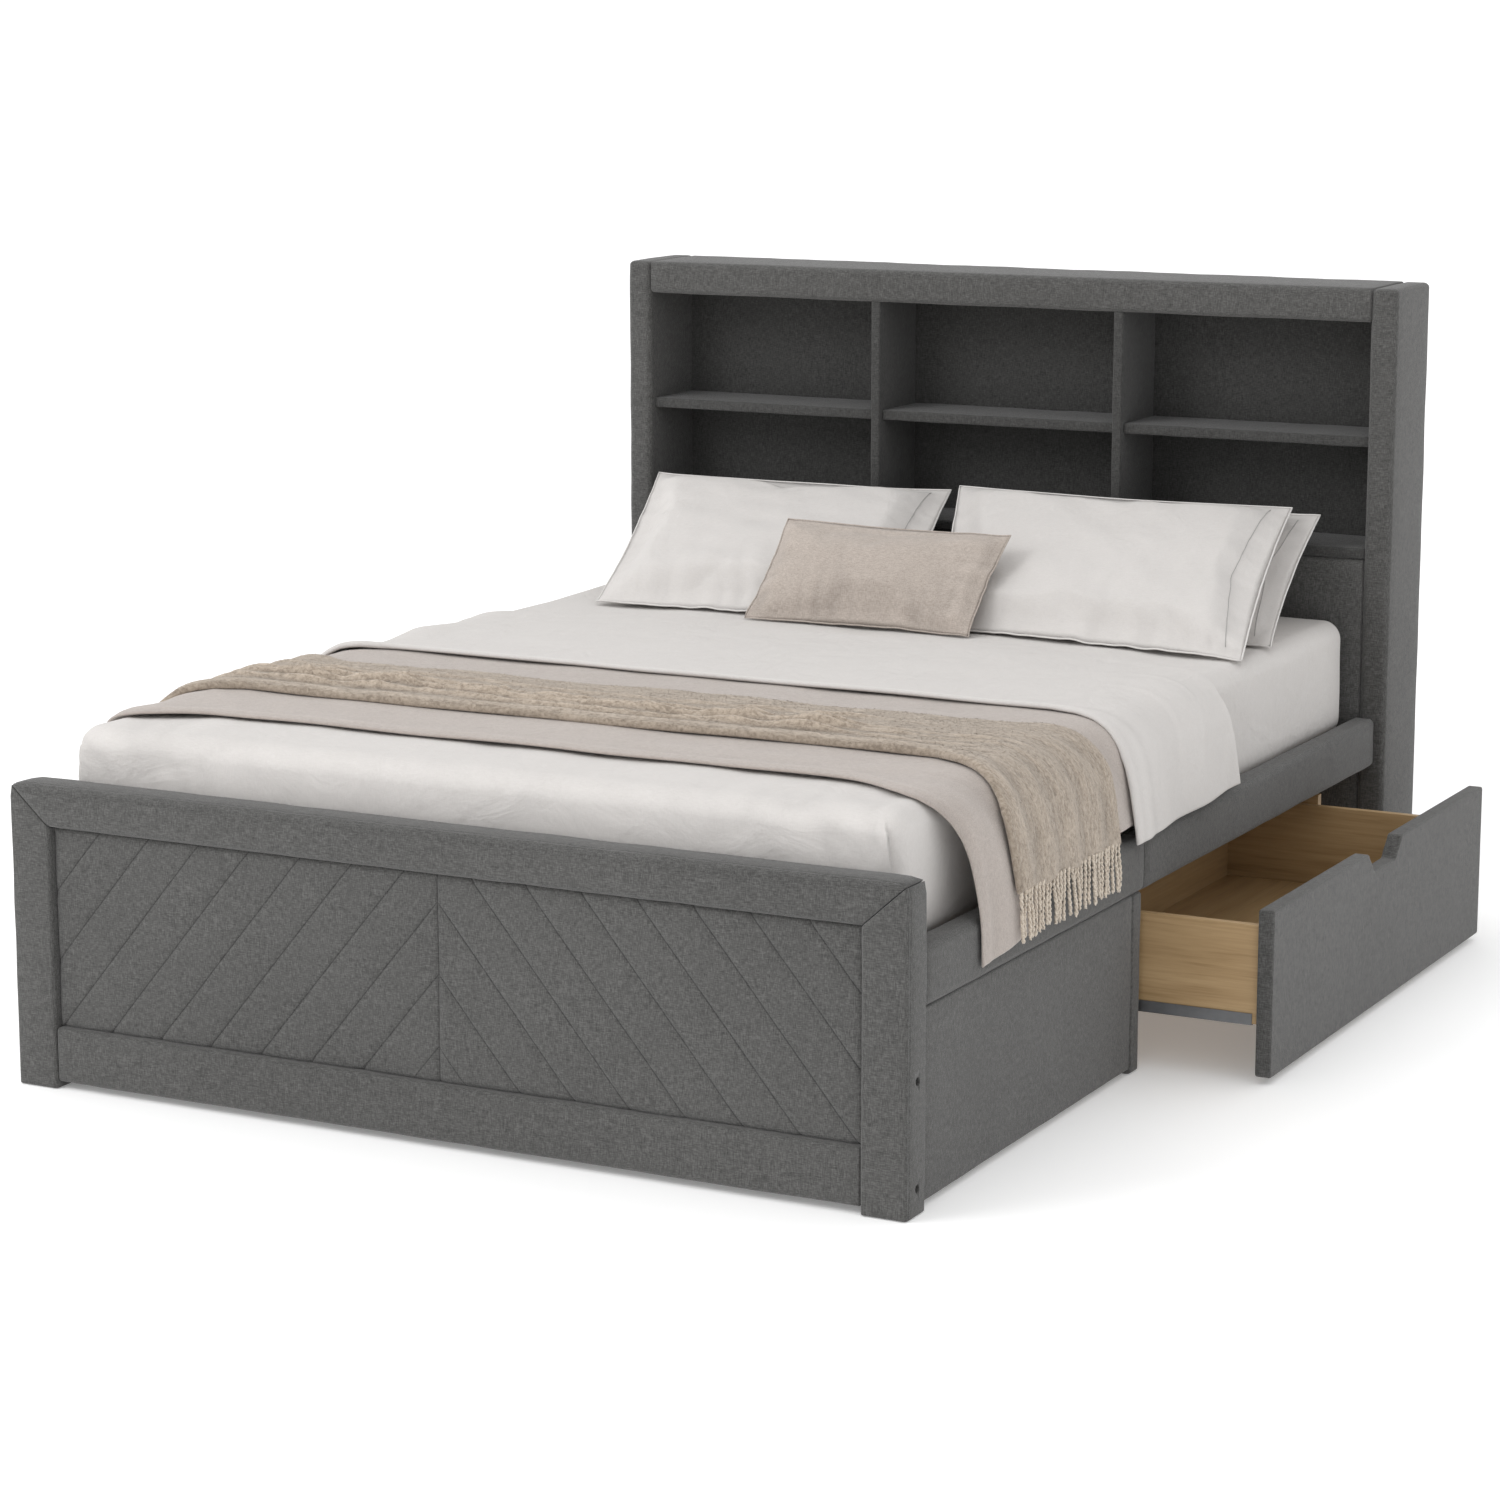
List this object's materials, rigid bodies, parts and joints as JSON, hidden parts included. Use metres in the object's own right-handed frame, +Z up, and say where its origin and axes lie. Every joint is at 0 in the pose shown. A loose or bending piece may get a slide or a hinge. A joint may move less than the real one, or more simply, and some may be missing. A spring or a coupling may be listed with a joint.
{
  "type": "platform bed with storage drawers",
  "caption": "Upholstered platform bed with a bookcase headboard, chevron stitched footboard, sliding storage drawers, mattress, pillows and layered bedding.",
  "frame": {"origin": "centre of the bottom face of the middle centre leg, on the floor", "axes": "+X towards the side whose drawer stands open, +Y from the foot to the headboard, +Z up"},
  "size_m": [1.88, 2.331, 1.235],
  "materials": {
    "grey_upholstery": "woven, matt",
    "dark_grey_fabric": "woven, matt",
    "birch_wood": "clear satin",
    "grey_steel": "grey zinc, satin",
    "white_cotton": "soft, matt",
    "taupe_blanket": "soft, matt",
    "tan_throw": "fleecy, matt",
    "beige_linen": "slubby, matt"
  },
  "bodies": {
    "bed": {"footboard_left_post": "grey_upholstery", "footboard_right_post": "grey_upholstery", "footboard_top_rail": "grey_upholstery", "footboard_bottom_rail": "grey_upholstery", "footboard_chevron_panel": "grey_upholstery", "left_rail_foot": "grey_upholstery", "left_rail_head": "grey_upholstery", "left_side_panel": "grey_upholstery", "left_middle_leg": "grey_upholstery", "left_slat_ledge": "birch_wood", "right_rail_foot": "grey_upholstery", "right_rail_head": "grey_upholstery", "right_side_panel": "grey_upholstery", "right_middle_leg": "grey_upholstery", "right_slat_ledge": "birch_wood", "centre_beam": "birch_wood", "centre_leg_middle": "birch_wood", "centre_leg_foot": "birch_wood", "foot_partition": "birch_wood", "head_partition": "birch_wood", "foot_slats": "birch_wood", "head_slats": "birch_wood", "headboard_left_side": "grey_upholstery", "headboard_right_side": "grey_upholstery", "headboard_top_rail": "grey_upholstery", "headboard_back_panel": "dark_grey_fabric", "headboard_deck": "dark_grey_fabric", "headboard_front_panel": "grey_upholstery", "headboard_left_divider": "dark_grey_fabric", "headboard_right_divider": "dark_grey_fabric", "headboard_left_shelf": "dark_grey_fabric", "headboard_middle_shelf": "dark_grey_fabric", "headboard_right_shelf": "dark_grey_fabric", "left_cabinet_runner_foot": "grey_steel", "left_cabinet_runner_head": "grey_steel", "right_cabinet_runner_foot": "grey_steel", "right_cabinet_runner_head": "grey_steel", "mattress": "white_cotton", "blanket": "taupe_blanket", "throw": "tan_throw", "top_sheet": "white_cotton", "left_pillow": "white_cotton", "right_pillow": "white_cotton", "rear_pillow": "white_cotton", "lumbar_cushion": "beige_linen"},
    "right_drawer": {"right_drawer_front": "grey_upholstery", "right_drawer_foot_side": "birch_wood", "right_drawer_head_side": "birch_wood", "right_drawer_back": "birch_wood", "right_drawer_base": "birch_wood", "right_drawer_runner_foot": "grey_steel", "right_drawer_runner_head": "grey_steel"},
    "left_drawer": {"left_drawer_front": "grey_upholstery", "left_drawer_foot_side": "birch_wood", "left_drawer_head_side": "birch_wood", "left_drawer_back": "birch_wood", "left_drawer_base": "birch_wood", "left_drawer_runner_foot": "grey_steel", "left_drawer_runner_head": "grey_steel"}
  },
  "joints": [
    {"name": "right_drawer_slide", "type": "slide", "parent": "bed", "child": "right_drawer", "axis": [1, 0, 0], "range_m": [-0.233, 0.12]},
    {"name": "left_drawer_slide", "type": "slide", "parent": "bed", "child": "left_drawer", "axis": [-1, 0, 0], "range_m": [0, 0.353]}
  ]
}
